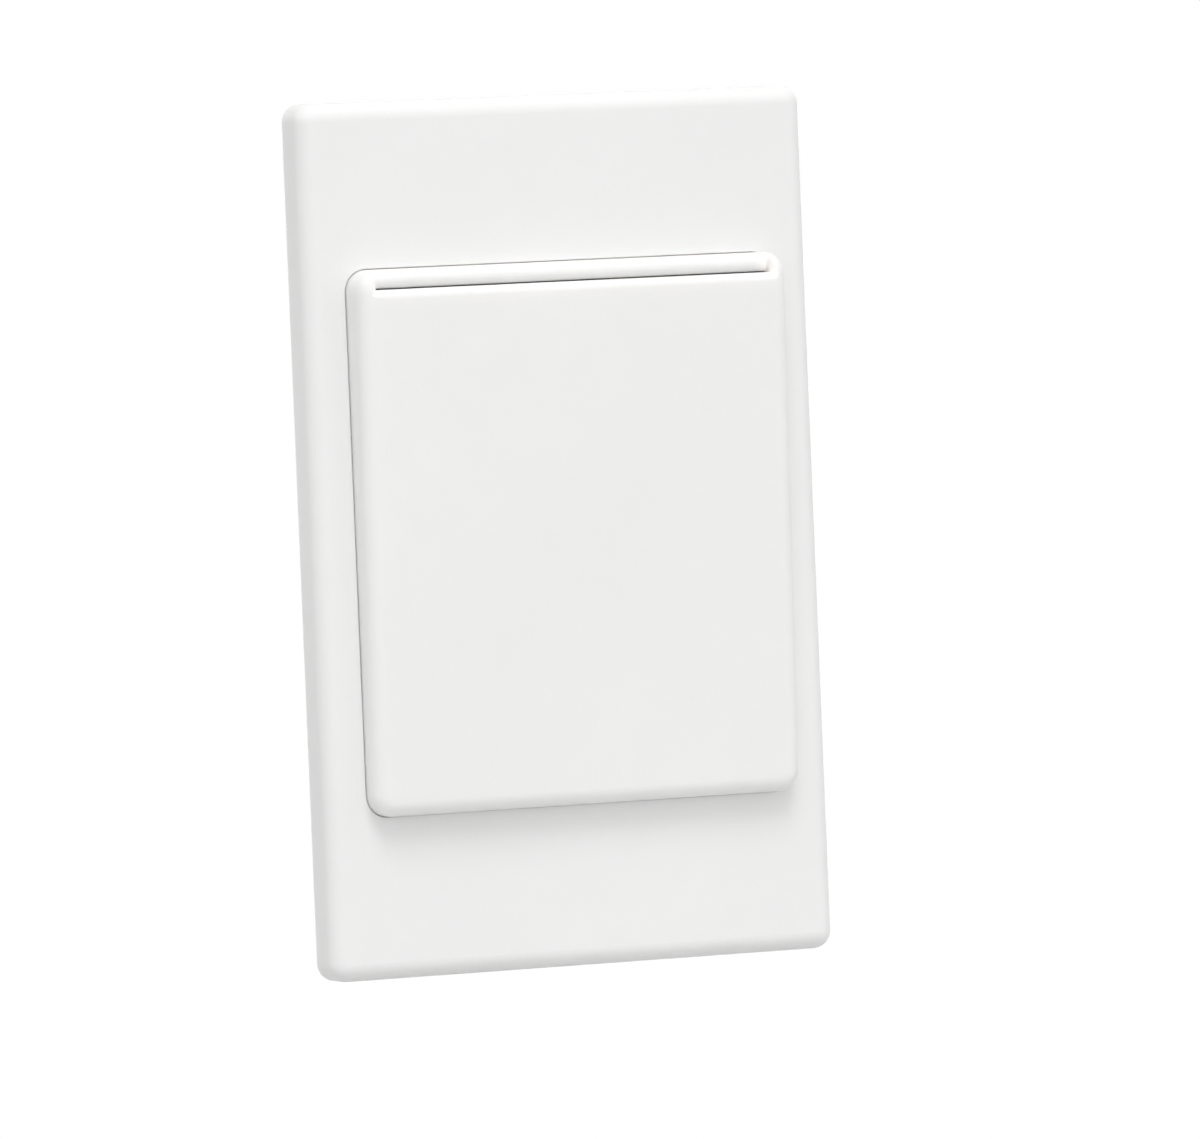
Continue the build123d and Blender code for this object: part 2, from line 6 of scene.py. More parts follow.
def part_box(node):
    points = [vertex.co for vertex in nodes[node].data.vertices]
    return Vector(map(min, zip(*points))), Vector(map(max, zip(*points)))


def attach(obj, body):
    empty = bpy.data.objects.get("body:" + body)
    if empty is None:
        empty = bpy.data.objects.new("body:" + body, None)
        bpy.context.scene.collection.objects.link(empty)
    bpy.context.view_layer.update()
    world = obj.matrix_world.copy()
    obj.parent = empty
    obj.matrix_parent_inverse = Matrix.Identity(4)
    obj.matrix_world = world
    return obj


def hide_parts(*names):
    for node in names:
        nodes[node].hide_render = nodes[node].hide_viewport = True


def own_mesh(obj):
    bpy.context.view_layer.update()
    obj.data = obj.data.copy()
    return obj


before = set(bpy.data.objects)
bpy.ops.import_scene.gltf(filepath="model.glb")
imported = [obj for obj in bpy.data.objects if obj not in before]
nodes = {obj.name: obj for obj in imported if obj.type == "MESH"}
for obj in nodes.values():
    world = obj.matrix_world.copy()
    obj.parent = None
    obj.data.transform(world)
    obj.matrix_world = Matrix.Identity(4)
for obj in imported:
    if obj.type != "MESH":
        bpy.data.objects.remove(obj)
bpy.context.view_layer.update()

print("frame loaded:", len(nodes), "pieces")


# Node helpers

def link(tree, source, sink):
    tree.links.new(source, sink)


def feed(tree, value, sink):
    # Links a socket, and sets anything else as a plain value.
    if isinstance(value, bpy.types.NodeSocket):
        link(tree, value, sink)
    else:
        sink.default_value = value


def place(tree, kind, x, y, **settings):
    node = tree.nodes.new(kind)
    node.location = (x, y)
    for name, value in settings.items():
        setattr(node, name, value)
    return node


def combine(tree, operation, x, y, *values):
    node = place(tree, "ShaderNodeMath", x, y, operation=operation)
    for sink, value in zip(node.inputs, values):
        feed(tree, value, sink)
    return node.outputs["Value"]


def spread(tree, x, y, value, span, least=0.0):
    # Stretches a span of values, so that it runs from the least value to 1.
    node = place(tree, "ShaderNodeMapRange", x, y)
    node.inputs["From Min"].default_value = span[0]
    node.inputs["From Max"].default_value = span[1]
    node.inputs["To Min"].default_value = least
    link(tree, value, node.inputs["Value"])
    return node.outputs["Result"]


def noise(tree, x, y, vector, scale, detail=2.0, roughness=0.5):
    node = place(tree, "ShaderNodeTexNoise", x, y)
    given = {"Vector": vector, "Scale": scale, "Detail": detail, "Roughness": roughness}
    for label, value in given.items():
        feed(tree, value, node.inputs[label])
    return node.outputs["Fac"]


def mixTone(tree, x, y, factor, under, over):
    # Lays one colour over another by a mask.
    mix = place(tree, "ShaderNodeMix", x, y, data_type="RGBA")
    for label, value in {"Factor": factor, "A": under, "B": over}.items():
        feed(tree, value, mix.inputs[label])
    return mix.outputs["Result"]


def newGroup(name, inputs, outputs):
    tree = bpy.data.node_groups.new(name, "ShaderNodeTree")
    for label, kind, value in inputs:
        socket = tree.interface.new_socket(name=label, in_out="INPUT", socket_type=kind)
        socket.default_value = value
    for label, kind in outputs:
        tree.interface.new_socket(name=label, in_out="OUTPUT", socket_type=kind)
    entry = place(tree, "NodeGroupInput", -1200, 0)
    leave = place(tree, "NodeGroupOutput", 800, 0)
    return tree, entry.outputs, leave.inputs


def colour(rgb):
    return (*rgb, 1.0)


# Effects that several finishes share

skinEffect = {
    "driftDetail": 3.0,
    "driftRoughness": 0.55,
    "driftSpan": (0.35, 0.65),
    "driftMiddle": 0.5,
    "grainDetail": 2.0,
}


def makeMouldSkin(look):
    # Slow drift of tone and gloss over a moulding, with the fine spark finish of its tool as height.
    tree, given, made = newGroup("mouldSkin", [
        ("Tone", "NodeSocketColor", colour((0.8, 0.8, 0.8))),
        ("Drift Tone", "NodeSocketColor", colour((0.78, 0.78, 0.77))),
        ("Drift Scale", "NodeSocketFloat", 40.0),
        ("Grain Scale", "NodeSocketFloat", 3000.0),
        ("Gloss", "NodeSocketFloat", 0.4),
        ("Gloss Drift", "NodeSocketFloat", 0.04),
    ], [("Color", "NodeSocketColor"), ("Roughness", "NodeSocketFloat"), ("Height", "NodeSocketFloat")])
    spot = place(tree, "ShaderNodeTexCoord", -1000, -200).outputs["Object"]
    drift = noise(tree, -700, 200, spot, given["Drift Scale"], look["driftDetail"], look["driftRoughness"])
    grain = noise(tree, -700, -300, spot, given["Grain Scale"], look["grainDetail"])
    cells = place(tree, "ShaderNodeTexVoronoi", -700, -600)
    link(tree, spot, cells.inputs["Vector"])
    link(tree, given["Grain Scale"], cells.inputs["Scale"])
    drifted = spread(tree, -450, 200, drift, look["driftSpan"])
    link(tree, mixTone(tree, 0, 200, drifted, given["Tone"], given["Drift Tone"]), made["Color"])
    centred = combine(tree, "SUBTRACT", -200, 0, drifted, look["driftMiddle"])
    gloss = combine(tree, "MULTIPLY_ADD", 100, 0, centred, given["Gloss Drift"], given["Gloss"])
    link(tree, gloss, made["Roughness"])
    link(tree, combine(tree, "ADD", 0, -400, grain, cells.outputs["Distance"]), made["Height"])
    return tree


edgeEffect = {
    "samples": 4,
    "turn": (0.995, 0.85),     # from flat to a full edge, as the cosine between the two normals
}


def makeSoftEdge(look):
    # Rounds each edge by a hair and tells where the edges are.
    tree, given, made = newGroup("softEdge", [
        ("Radius", "NodeSocketFloat", 0.0002),
    ], [("Normal", "NodeSocketVector"), ("Edge", "NodeSocketFloat")])
    bevel = place(tree, "ShaderNodeBevel", -600, 0, samples=look["samples"])
    link(tree, given["Radius"], bevel.inputs["Radius"])
    link(tree, bevel.outputs["Normal"], made["Normal"])
    flat = place(tree, "ShaderNodeNewGeometry", -600, -300)
    turned = place(tree, "ShaderNodeVectorMath", -300, -100, operation="DOT_PRODUCT")
    link(tree, bevel.outputs["Normal"], turned.inputs[0])
    link(tree, flat.outputs["Normal"], turned.inputs[1])
    link(tree, spread(tree, 0, -100, turned.outputs["Value"], look["turn"]), made["Edge"])
    return tree


dustAndShadeEffect = {
    "samples": 4,
    "shade": (0.75, 0.1),      # from open to deep in a crevice
    "patchDetail": 4.0,
    "patchSpan": (0.3, 0.7),
    "thinnest": 0.5,           # share that the thin patches keep
}


def makeCreviceDustAndShade(look):
    # Darkens where two surfaces stand close together, read from ambient occlusion: painted shade in crevices,
    # with some dust settled there.
    tree, given, made = newGroup("creviceDustAndShade", [
        ("Reach", "NodeSocketFloat", 0.0008),
        ("Amount", "NodeSocketFloat", 0.5),
        ("Patch Scale", "NodeSocketFloat", 90.0),
    ], [("Dust And Shade", "NodeSocketFloat")])
    shade = place(tree, "ShaderNodeAmbientOcclusion", -700, 100, samples=look["samples"])
    link(tree, given["Reach"], shade.inputs["Distance"])
    depth = spread(tree, -400, 100, shade.outputs["AO"], look["shade"])
    spot = place(tree, "ShaderNodeTexCoord", -1000, -200).outputs["Object"]
    patch = noise(tree, -700, -200, spot, given["Patch Scale"], look["patchDetail"])
    uneven = spread(tree, -400, -200, patch, look["patchSpan"], look["thinnest"])
    laid = combine(tree, "MULTIPLY", -100, 0, depth, uneven)
    link(tree, combine(tree, "MULTIPLY", 200, 0, laid, given["Amount"]), made["Dust And Shade"])
    return tree


scratchEffect = {
    "tilts": (0.5, -1.1),      # one for each direction, in radians
    "twist": 0.3,              # between the two directions
    "lean": 0.2,
    "stretch": 0.03,           # how far the noise is drawn out along a scratch
    "detail": 1.0,
    "span": (0.67, 0.74),
}


def makeHairScratches(look):
    # Thin scratches in two crossing directions, as cards and cloths leave them.
    tree, given, made = newGroup("hairScratches", [
        ("Density", "NodeSocketFloat", 0.5),
        ("Scale", "NodeSocketFloat", 260.0),
    ], [("Scratch", "NodeSocketFloat")])
    spot = place(tree, "ShaderNodeTexCoord", -1100, 0).outputs["Object"]
    runs = []
    for number, tilt in enumerate(look["tilts"]):
        y = 200 - 400 * number
        turn = place(tree, "ShaderNodeMapping", -900, y)
        turn.inputs["Rotation"].default_value = (look["twist"] * number, tilt, look["lean"])
        turn.inputs["Scale"].default_value = (1.0, 1.0, look["stretch"])
        link(tree, spot, turn.inputs["Vector"])
        run = noise(tree, -700, y, turn.outputs["Vector"], given["Scale"], look["detail"])
        runs.append(spread(tree, -450, y, run, look["span"]))
    both = combine(tree, "MAXIMUM", -150, 0, *runs)
    link(tree, combine(tree, "MULTIPLY", 150, 0, both, given["Density"]), made["Scratch"])
    return tree


metalEffect = {
    "patchDetail": 5.0,
    "dullSpan": (0.42, 0.68),
    "dullRoughness": 0.18,     # what the dull patches add
    "lineRoughness": 0.12,     # and the drawn lines
}


def makeDrawnMetal(look):
    # Fine lines from drawing, rolling or turning, with patches where the surface has dulled.
    tree, given, made = newGroup("drawnMetal", [
        ("Bright", "NodeSocketColor", colour((0.8, 0.8, 0.8))),
        ("Dull", "NodeSocketColor", colour((0.5, 0.5, 0.5))),
        ("Along", "NodeSocketVector", (1.0, 1.0, 0.05)),
        ("Line Scale", "NodeSocketFloat", 4000.0),
        ("Patch Scale", "NodeSocketFloat", 300.0),
        ("Gloss", "NodeSocketFloat", 0.3),
    ], [("Color", "NodeSocketColor"), ("Roughness", "NodeSocketFloat"), ("Height", "NodeSocketFloat")])
    spot = place(tree, "ShaderNodeTexCoord", -1200, -300).outputs["Object"]
    stretch = place(tree, "ShaderNodeVectorMath", -950, -200, operation="MULTIPLY")
    link(tree, spot, stretch.inputs[0])
    link(tree, given["Along"], stretch.inputs[1])
    lines = noise(tree, -700, -200, stretch.outputs["Vector"], given["Line Scale"])
    patch = noise(tree, -700, 200, spot, given["Patch Scale"], look["patchDetail"])
    dulled = spread(tree, -400, 200, patch, look["dullSpan"])
    link(tree, mixTone(tree, 0, 200, dulled, given["Bright"], given["Dull"]), made["Color"])
    rough = combine(tree, "MULTIPLY_ADD", -100, -50, dulled, look["dullRoughness"], given["Gloss"])
    lined = combine(tree, "MULTIPLY_ADD", 200, -50, lines, look["lineRoughness"], rough)
    link(tree, lined, made["Roughness"])
    link(tree, lines, made["Height"])
    return tree


mouldSkin = makeMouldSkin(skinEffect)
softEdge = makeSoftEdge(edgeEffect)
creviceDustAndShade = makeCreviceDustAndShade(dustAndShadeEffect)
hairScratches = makeHairScratches(scratchEffect)
drawnMetal = makeDrawnMetal(metalEffect)
print("shared effects made")


# Finishes

def startFinish(name):
    material = bpy.data.materials.new(name)
    material.use_nodes = True
    tree = material.node_tree
    tree.nodes.clear()
    shader = place(tree, "ShaderNodeBsdfPrincipled", 400, 0)
    leave = place(tree, "ShaderNodeOutputMaterial", 800, 0)
    link(tree, shader.outputs["BSDF"], leave.inputs["Surface"])
    return material, tree, shader


def useGroup(tree, group, x, y, values):
    node = place(tree, "ShaderNodeGroup", x, y, node_tree=group)
    for label, value in values.items():
        node.inputs[label].default_value = value
    return node


def addEdgeDustAndShade(tree, look):
    edge = useGroup(tree, softEdge, -700, -200, {"Radius": look["edgeRadius"]})
    # The crevice mask comes from ambient occlusion, so it marks painted shade as well as dust.
    dustAndShade = useGroup(tree, creviceDustAndShade, -700, -400, {
        "Reach": look["dustReach"], "Amount": look["dustAmount"],
    })
    worn = combine(tree, "MULTIPLY", -450, -150, edge.outputs["Edge"], look["edgeWear"])
    return edge, dustAndShade, worn


def addRelief(tree, shader, skin, edge, strength, depth):
    bump = place(tree, "ShaderNodeBump", 100, -300)
    bump.inputs["Strength"].default_value = strength
    bump.inputs["Distance"].default_value = depth
    link(tree, skin.outputs["Height"], bump.inputs["Height"])
    link(tree, edge.outputs["Normal"], bump.inputs["Normal"])
    link(tree, bump.outputs["Normal"], shader.inputs["Normal"])


def plasticFinish(name, look):
    material, tree, shader = startFinish(name)
    skin = useGroup(tree, mouldSkin, -700, 200, {
        "Tone": colour(look["tone"]),
        "Drift Tone": colour(look["driftTone"]),
        "Drift Scale": look["driftScale"],
        "Grain Scale": look["grainScale"],
        "Gloss": look["roughness"],
        "Gloss Drift": look["glossDrift"],
    })
    edge, dustAndShade, worn = addEdgeDustAndShade(tree, look)
    scratch = useGroup(tree, hairScratches, -700, -600, {"Density": look["scratches"]})
    rubbed = mixTone(tree, -200, 200, worn, skin.outputs["Color"], colour(look["wornTone"]))
    # Painted shade: crevices darken towards the dust tone, partly shade and partly dust that settles there.
    dustyAndShaded = mixTone(tree, 0, 200, dustAndShade.outputs["Dust And Shade"], rubbed, colour(look["dustTone"]))
    link(tree, dustyAndShaded, shader.inputs["Base Color"])
    marked = combine(
        tree, "MULTIPLY_ADD", -200, -50,
        scratch.outputs["Scratch"], look["scratchRoughness"], skin.outputs["Roughness"],
    )
    dulled = combine(tree, "MULTIPLY_ADD", 0, -50, dustAndShade.outputs["Dust And Shade"], look["dustRoughness"], marked)
    link(tree, dulled, shader.inputs["Roughness"])
    addRelief(tree, shader, skin, edge, look["grainStrength"], look["grainDepth"])
    shader.subsurface_method = "BURLEY"
    shader.inputs["Subsurface Weight"].default_value = look["glow"]
    shader.inputs["Subsurface Radius"].default_value = look["glowTint"]
    shader.inputs["Subsurface Scale"].default_value = look["glowDepth"]
    shader.inputs["IOR"].default_value = look["ior"]
    shader.inputs["Specular IOR Level"].default_value = look["specular"]
    return material


def metalFinish(name, look):
    material, tree, shader = startFinish(name)
    skin = useGroup(tree, drawnMetal, -700, 200, {
        "Bright": colour(look["bright"]),
        "Dull": colour(look["dull"]),
        "Along": look["along"],
        "Line Scale": look["lineScale"],
        "Patch Scale": look["patchScale"],
        "Gloss": look["roughness"],
    })
    edge, dustAndShade, worn = addEdgeDustAndShade(tree, look)
    polished = mixTone(tree, -200, 200, worn, skin.outputs["Color"], colour(look["bright"]))
    # Painted shade: crevices darken towards the dust tone, partly shade and partly grime that settles there.
    grimyAndShaded = mixTone(tree, 0, 200, dustAndShade.outputs["Dust And Shade"], polished, colour(look["dustTone"]))
    link(tree, grimyAndShaded, shader.inputs["Base Color"])
    link(tree, skin.outputs["Roughness"], shader.inputs["Roughness"])
    shader.inputs["Metallic"].default_value = 1.0
    addRelief(tree, shader, skin, edge, look["lineStrength"], look["lineDepth"])
    return material


def dress(name, material):
    mesh = nodes[name].data
    mesh.materials.clear()
    mesh.materials.append(material)


# Looks that the pieces start from; each piece below changes what is its own.
satinMoulding = {
    "tone": (0.86, 0.86, 0.855),
    "driftTone": (0.845, 0.845, 0.84),
    "driftScale": 22.0,        # one drift of tone in about 45 mm
    "grainScale": 3200.0,      # grains of about 0.3 mm
    "grainStrength": 0.25,
    "grainDepth": 0.00002,
    "roughness": 0.42,
    "glossDrift": 0.04,
    "edgeRadius": 0.00012,
    "edgeWear": 0.0,
    "wornTone": (0.88, 0.88, 0.872),
    # These keys darken crevices found by ambient occlusion: painted shade, partly dust.
    "dustReach": 0.0005,
    "dustAmount": 0.10,
    "dustTone": (0.66, 0.57, 0.50),
    "dustRoughness": 0.3,      # what dust adds
    "scratches": 0.35,
    "scratchRoughness": 0.10,  # and scratches
    "ior": 1.5,
    "specular": 0.5,
    "glow": 0.0,               # how much light goes on below the surface
    "glowTint": (1.0, 0.90, 0.82),
    "glowDepth": 0.0009,       # and how far, in metres
}

turnedMetal = {
    "bright": (0.72, 0.72, 0.71),
    "dull": (0.48, 0.48, 0.47),
    "along": (1.0, 1.0, 0.05),  # small along the lines
    "lineScale": 5000.0,
    "patchScale": 420.0,
    "roughness": 0.26,
    "lineStrength": 0.3,
    "lineDepth": 0.00001,
    "edgeRadius": 0.0001,
    "edgeWear": 0.6,
    "dustReach": 0.0005,
    "dustAmount": 0.4,
    "dustTone": (0.12, 0.11, 0.10),
}


# Cover plate
coverPlate = {
    **satinMoulding,
    "glow": 1.0,
    "roughness": 0.56,
    "edgeRadius": 0.0002,
    "scratches": 0.25,
}
dress("cover_plate", plasticFinish("coverSatin", coverPlate))

# Card holder: cards brush past its slot, so it has more scratches and its edges have paled a little.
cardHolder = {
    **satinMoulding,
    # Tone and drift tone a touch lighter than the cover's: painted light, standing in for the light that the
    # cover's face throws back onto the holder.
    "tone": (0.868, 0.868, 0.861),
    "driftTone": (0.853, 0.853, 0.846),
    "glow": 1.0,
    "glowDepth": 0.0022,
    "roughness": 0.56,
    "edgeRadius": 0.0002,
    "edgeWear": 0.2,
    "scratches": 0.45,
}
dress("card_holder", plasticFinish("holderSatin", cardHolder))

# Mounting grid
mountingGrid = {
    **satinMoulding,
    "tone": (0.70, 0.70, 0.68),
    "driftTone": (0.66, 0.66, 0.64),
    "driftScale": 60.0,
    "grainScale": 1800.0,
    "roughness": 0.55,
}
dress("grid_plate", plasticFinish("gridMoulding", mountingGrid))

# Card guide
cardGuide = {
    **satinMoulding,
    "tone": (0.045, 0.043, 0.041),
    "driftTone": (0.06, 0.058, 0.055),
    "roughness": 0.55,
    "wornTone": (0.12, 0.12, 0.115),
    "edgeWear": 0.5,
    "dustTone": (0.25, 0.23, 0.21),
    "dustAmount": 0.30,
}
dress("card_guide", plasticFinish("guideMoulding", cardGuide))

# Rear housing
rearHousing = {
    **satinMoulding,
    "tone": (0.66, 0.66, 0.64),
    "driftTone": (0.61, 0.61, 0.585),
    "driftScale": 50.0,
    "grainScale": 1500.0,
    "grainStrength": 0.4,
    "roughness": 0.58,
    "edgeRadius": 0.00025,
    "edgeWear": 0.25,
    "wornTone": (0.74, 0.74, 0.72),
    "dustReach": 0.0012,
    "dustAmount": 0.35,
}
dress("rear_housing", plasticFinish("housingMoulding", rearHousing))

# Terminal tray
terminalTray = {
    **satinMoulding,
    "tone": (0.09, 0.09, 0.095),
    "driftTone": (0.12, 0.12, 0.12),
    "roughness": 0.5,
    "wornTone": (0.2, 0.2, 0.2),
    "edgeWear": 0.4,
}
dress("terminal_tray", plasticFinish("trayMoulding", terminalTray))

# Lever
cardLever = {
    **satinMoulding,
    "tone": (0.74, 0.71, 0.63),
    "driftTone": (0.70, 0.67, 0.585),
    "grainScale": 2400.0,
    "roughness": 0.32,
    "edgeWear": 0.3,
    "wornTone": (0.80, 0.77, 0.70),
}
dress("card_lever", plasticFinish("leverAcetal", cardLever))

# Snap switch
snapSwitch = {
    **satinMoulding,
    "tone": (0.028, 0.028, 0.03),
    "driftTone": (0.04, 0.04, 0.04),
    "grainScale": 2600.0,
    "roughness": 0.48,
    "edgeWear": 0.5,
    "wornTone": (0.09, 0.09, 0.09),
}
snapSwitchFinish = plasticFinish("switchMoulding", snapSwitch)
for part in ("switch_case", "switch_cover"):
    dress(part, snapSwitchFinish)

plunger = {
    **satinMoulding,
    "tone": (0.52, 0.05, 0.035),
    "driftTone": (0.46, 0.045, 0.03),
    "roughness": 0.28,
    "edgeWear": 0.3,
    "wornTone": (0.66, 0.18, 0.14),
}
dress("switch_plunger", plasticFinish("plungerAcetal", plunger))

# Stamped strips
stampedStrip = {
    **turnedMetal,
    "bright": (0.76, 0.57, 0.29),
    "dull": (0.66, 0.47, 0.22),
    "along": (1.0, 0.06, 1.0),
    "patchScale": 480.0,
}
stampedFinish = metalFinish("stampedBrass", stampedStrip)
for part in ("switch_terminal_com", "switch_terminal_no", "switch_terminal_nc", "link_line", "link_load"):
    dress(part, stampedFinish)

# Switch's blade
bladeStrip = {
    **turnedMetal,
    "bright": (0.80, 0.55, 0.42),
    "dull": (0.60, 0.34, 0.23),
    "along": (0.05, 1.0, 1.0),
}
dress("switch_blade", metalFinish("bladeCopper", bladeStrip))

# Terminal blocks
terminalBlock = {
    **turnedMetal,
    "bright": (0.78, 0.60, 0.28),
    "dull": (0.68, 0.50, 0.22),
    "along": (1.0, 0.05, 1.0),
    "patchScale": 520.0,
}
terminalFinish = metalFinish("machinedBrass", terminalBlock)
for part in ("terminal_line", "terminal_loop", "terminal_load"):
    dress(part, terminalFinish)

# Zinc-plated screws
platedFinish = metalFinish("platedSteel", turnedMetal)
for name in nodes:
    if name.startswith(("terminal_screw", "body_screw", "switch_screw")):
        dress(name, platedFinish)

# Lever's pin
pinSteel = {**turnedMetal, "along": (0.05, 1.0, 1.0), "roughness": 0.18}
dress("lever_pin", metalFinish("groundSteel", pinSteel))
print("finishes on the packed pieces")


# Return spring: round wire wound as a fixed helix in the packed spring's place, on the base
returnSpring = {
    "wire": 0.0005,
    "turns": 4.0,
    "stepsPerTurn": 40,
    "wireSides": 12,
    "deadCoilTurn": 0.3,       # part of a turn that lies flat at each end
    "bright": (0.66, 0.66, 0.65),
    "dull": (0.45, 0.45, 0.44),
    "roughness": 0.2,
}


def makeReturnSpring(look):
    low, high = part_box("return_spring")
    middle = (low + high) / 2
    wire = look["wire"] / 2
    radius = (high.x - low.x) / 2 - wire
    sides = look["wireSides"]
    steps = int(look["turns"] * look["stepsPerTurn"])
    rise = high.z - low.z - 2 * wire
    flat = look["deadCoilTurn"] / look["turns"]
    verts, faces = [], []
    for step in range(steps + 1):
        share = step / steps
        climb = min(max((share - flat) / (1 - 2 * flat), 0.0), 1.0)
        angle = 2 * math.pi * look["turns"] * share
        outward = Vector((math.cos(angle), math.sin(angle), 0))
        centre = Vector((middle.x, middle.y, low.z + wire + rise * climb)) + outward * radius
        for side in range(sides):
            around = 2 * math.pi * side / sides
            upward = Vector((0, 0, wire * math.sin(around)))
            verts.append(centre + outward * wire * math.cos(around) + upward)
    for step in range(steps):
        for side in range(sides):
            a, b = step * sides + side, step * sides + (side + 1) % sides
            faces.append((a, a + sides, b + sides, b))
    faces.append(tuple(range(sides)))
    faces.append(tuple(reversed(range(steps * sides, (steps + 1) * sides))))
    mesh = bpy.data.meshes.new("returnSpringWire")
    mesh.from_pydata(verts, [], faces)
    mesh.polygons.foreach_set("use_smooth", [len(face) == 4 for face in faces])
    mesh.update()
    spring = bpy.data.objects.new("return_spring_wire", mesh)
    bpy.context.scene.collection.objects.link(spring)
    springLook = {key: look.get(key, value) for key, value in turnedMetal.items()}
    mesh.materials.append(metalFinish("springSteel", springLook))
    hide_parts("return_spring")
    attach(spring, "base")
    return spring, low


springWire, springFoot = makeReturnSpring(returnSpring)
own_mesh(springWire)
print("return spring wound")


# Seam round the holder: a moulded step closes it a little way behind the cover's face. Its warm grey tone is
# partly dust and partly painted light, the warm glow that comes through the plastic into the seam.
seamStep = {
    "flange": 0.0019,          # how far the holder's flange stands out past its sides
    "corner": 0.0029,          # round of the holder's corners
    "overlap": 0.00005,        # how far the step goes into the holder
    "reach": 0.00012,          # and how far it stands out into the seam
    "sink": 0.0003,            # how far behind the cover's face it lies
    "depth": 0.0012,
    "cornerSteps": 12,
    # Painted light in part: this warm tone stands in for light through the plastic, besides dust.
    "tone": (0.80, 0.73, 0.67),
    "driftTone": (0.74, 0.66, 0.60),
    "glow": 0.0,
}


def roundedOutline(halfWidth, halfHeight, corner, steps):
    points = []
    for turn, (sideways, upwards) in enumerate(((1, 1), (-1, 1), (-1, -1), (1, -1))):
        for step in range(steps + 1):
            angle = (turn + step / steps) * math.pi / 2
            x = sideways * (halfWidth - corner) + corner * math.cos(angle)
            z = upwards * (halfHeight - corner) + corner * math.sin(angle)
            points.append((x, z))
    return points


def makeSeamStep(look):
    low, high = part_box("card_holder")
    middle = (low + high) / 2
    halfWidth = (high.x - low.x) / 2 - look["flange"]
    halfHeight = (high.z - low.z) / 2 - look["flange"]
    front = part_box("cover_plate")[0].y + look["sink"]
    back = front + look["depth"]
    inner, outer = -look["overlap"], look["reach"]
    verts, faces = [], []
    for grow, y in ((inner, back), (inner, front), (outer, front), (outer, back)):
        ring = roundedOutline(halfWidth + grow, halfHeight + grow, look["corner"] + grow, look["cornerSteps"])
        verts += [(middle.x + x, y, middle.z + z) for x, z in ring]
    count = len(verts) // 4
    for ring in range(4):
        for spot in range(count):
            a, b = ring * count + spot, ring * count + (spot + 1) % count
            c, d = (ring + 1) % 4 * count + (spot + 1) % count, (ring + 1) % 4 * count + spot
            faces.append((d, c, b, a))
    mesh = bpy.data.meshes.new("seamStep")
    mesh.from_pydata(verts, [], faces)
    mesh.update()
    step = bpy.data.objects.new("holder_seam_step", mesh)
    bpy.context.scene.collection.objects.link(step)
    seamLook = {key: look.get(key, value) for key, value in cardHolder.items()}
    mesh.materials.append(plasticFinish("seamDustAndWarmLight", seamLook))
    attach(step, "base")


makeSeamStep(seamStep)
print("seam closed")


# Light, floor and background
studio = {
    "fillStrength": 0.72,
    "frontStrength": 0.36,     # what the fill gains towards the room
    "roomward": (0.0, -1.0, 0.0),
    "keyStrength": 1.10,
    "keyFrom": (-0.13, -0.52, 0.845),
    "keyAngle": 0.5,
    "white": (1.0, 1.0, 1.0),
    "whiteStrength": 1.0,      # plain white, as the camera and reflections see it
    "floorHeight": -0.10,
    "floorSize": 40.0,
    "floorSeen": (0.93, 0.93, 0.93),
    "floorBounce": (0.60, 0.60, 0.60),
}


def seenRays(tree, x, y):
    # Tells what the camera or a reflection sees from what only lights the part.
    rays = place(tree, "ShaderNodeLightPath", x, y)
    seen = combine(tree, "MAXIMUM", x + 250, y, rays.outputs["Is Camera Ray"], rays.outputs["Is Glossy Ray"])
    return rays, seen


def plainSky(tree, y, look):
    sky = place(tree, "ShaderNodeBackground", -350, y)
    sky.inputs["Color"].default_value = colour(look["white"])
    return sky


def makeWorld(look):
    world = bpy.data.worlds.new("studioWorld")
    bpy.context.scene.world = world
    world.use_nodes = True
    tree = world.node_tree
    tree.nodes.clear()
    rays, seen = seenRays(tree, -850, 0)
    shownWhite = combine(tree, "MAXIMUM", -350, 0, seen, rays.outputs["Is Transmission Ray"])
    spot = place(tree, "ShaderNodeTexCoord", -1200, 400)
    facing = place(tree, "ShaderNodeVectorMath", -1000, 400, operation="DOT_PRODUCT")
    facing.inputs[1].default_value = look["roomward"]
    link(tree, spot.outputs["Generated"], facing.inputs[0])
    front = combine(tree, "MAXIMUM", -800, 400, facing.outputs["Value"], 0.0)
    strength = combine(tree, "MULTIPLY_ADD", -600, 400, front, look["frontStrength"], look["fillStrength"])
    fill = plainSky(tree, 300, look)
    link(tree, strength, fill.inputs["Strength"])
    white = plainSky(tree, -300, look)
    white.inputs["Strength"].default_value = look["whiteStrength"]
    mix = place(tree, "ShaderNodeMixShader", 0, 0)
    link(tree, shownWhite, mix.inputs["Fac"])
    link(tree, fill.outputs["Background"], mix.inputs[1])
    link(tree, white.outputs["Background"], mix.inputs[2])
    leave = place(tree, "ShaderNodeOutputWorld", 300, 0)
    link(tree, mix.outputs["Shader"], leave.inputs["Surface"])


def makeKeyLight(look):
    lamp = bpy.data.lights.new("keyLight", "SUN")
    lamp.energy = look["keyStrength"]
    lamp.angle = look["keyAngle"]
    key = bpy.data.objects.new("keyLight", lamp)
    bpy.context.scene.collection.objects.link(key)
    key.rotation_mode = "QUATERNION"
    key.rotation_quaternion = Vector(look["keyFrom"]).to_track_quat("Z", "Y")


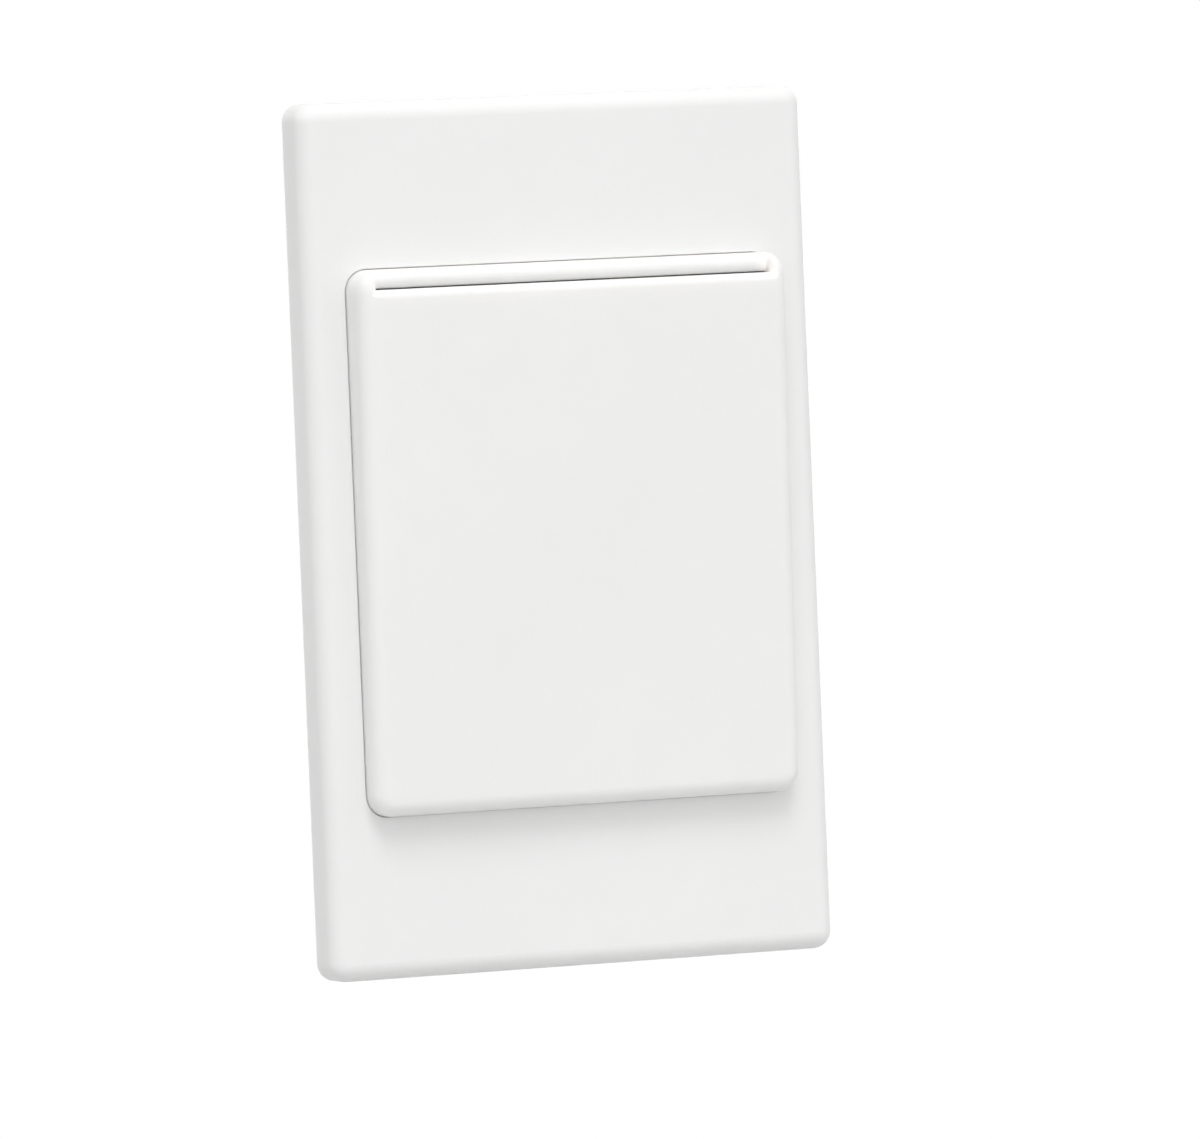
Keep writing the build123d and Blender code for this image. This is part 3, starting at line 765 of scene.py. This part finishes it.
def makeFloor(look):
    half = look["floorSize"] / 2
    mesh = bpy.data.meshes.new("studioFloor")
    corners = [(-half, -half, 0), (half, -half, 0), (half, half, 0), (-half, half, 0)]
    mesh.from_pydata(corners, [], [(0, 1, 2, 3)])
    floor = bpy.data.objects.new("studio_floor", mesh)
    floor.location.z = look["floorHeight"]
    bpy.context.scene.collection.objects.link(floor)
    material, tree, shader = startFinish("paleFloor")
    rays, seen = seenRays(tree, -600, 0)
    tone = mixTone(tree, -100, 0, seen, colour(look["floorBounce"]), colour(look["floorSeen"]))
    link(tree, tone, shader.inputs["Base Color"])
    shader.inputs["Roughness"].default_value = 1.0
    shader.inputs["Specular IOR Level"].default_value = 0.0
    mesh.materials.append(material)


makeWorld(studio)
makeKeyLight(studio)
makeFloor(studio)
print("studio lit")


# Camera, from the photo's perspective: angles in degrees, distance in metres
view = {
    "yaw": 23.884,
    "pitch": 2.136,
    "roll": -2.349,
    "distance": 1.538,
    "focalPixels": 11530.0,
    "offsetPixels": (-47.935, -39.418),
    "frameWidth": 1200,
    "sensor": 36.0,            # in millimetres
}


def makeCamera(look):
    yaw, pitch, roll = (math.radians(look[key]) for key in ("yaw", "pitch", "roll"))
    back = Vector((-math.sin(yaw) * math.cos(pitch), -math.cos(yaw) * math.cos(pitch), math.sin(pitch)))
    level = Vector((math.cos(yaw), -math.sin(yaw), 0.0))
    above = back.cross(level)
    right = math.cos(roll) * level + math.sin(roll) * above
    up = math.cos(roll) * above - math.sin(roll) * level
    pixel = look["distance"] / look["focalPixels"]
    aside, down = look["offsetPixels"]
    spot = back * look["distance"] - right * aside * pixel + up * down * pixel
    data = bpy.data.cameras.new("photoCamera")
    data.sensor_width = look["sensor"]
    data.sensor_fit = "HORIZONTAL"
    data.lens = look["focalPixels"] * look["sensor"] / look["frameWidth"]
    camera = bpy.data.objects.new("photoCamera", data)
    camera.matrix_world = Matrix.Translation(spot) @ Matrix((right, up, back)).transposed().to_4x4()
    bpy.context.scene.collection.objects.link(camera)
    bpy.context.scene.camera = camera


makeCamera(view)
bpy.context.scene.view_settings.view_transform = "Standard"
print("camera placed")

bpy.context.view_layer.update()
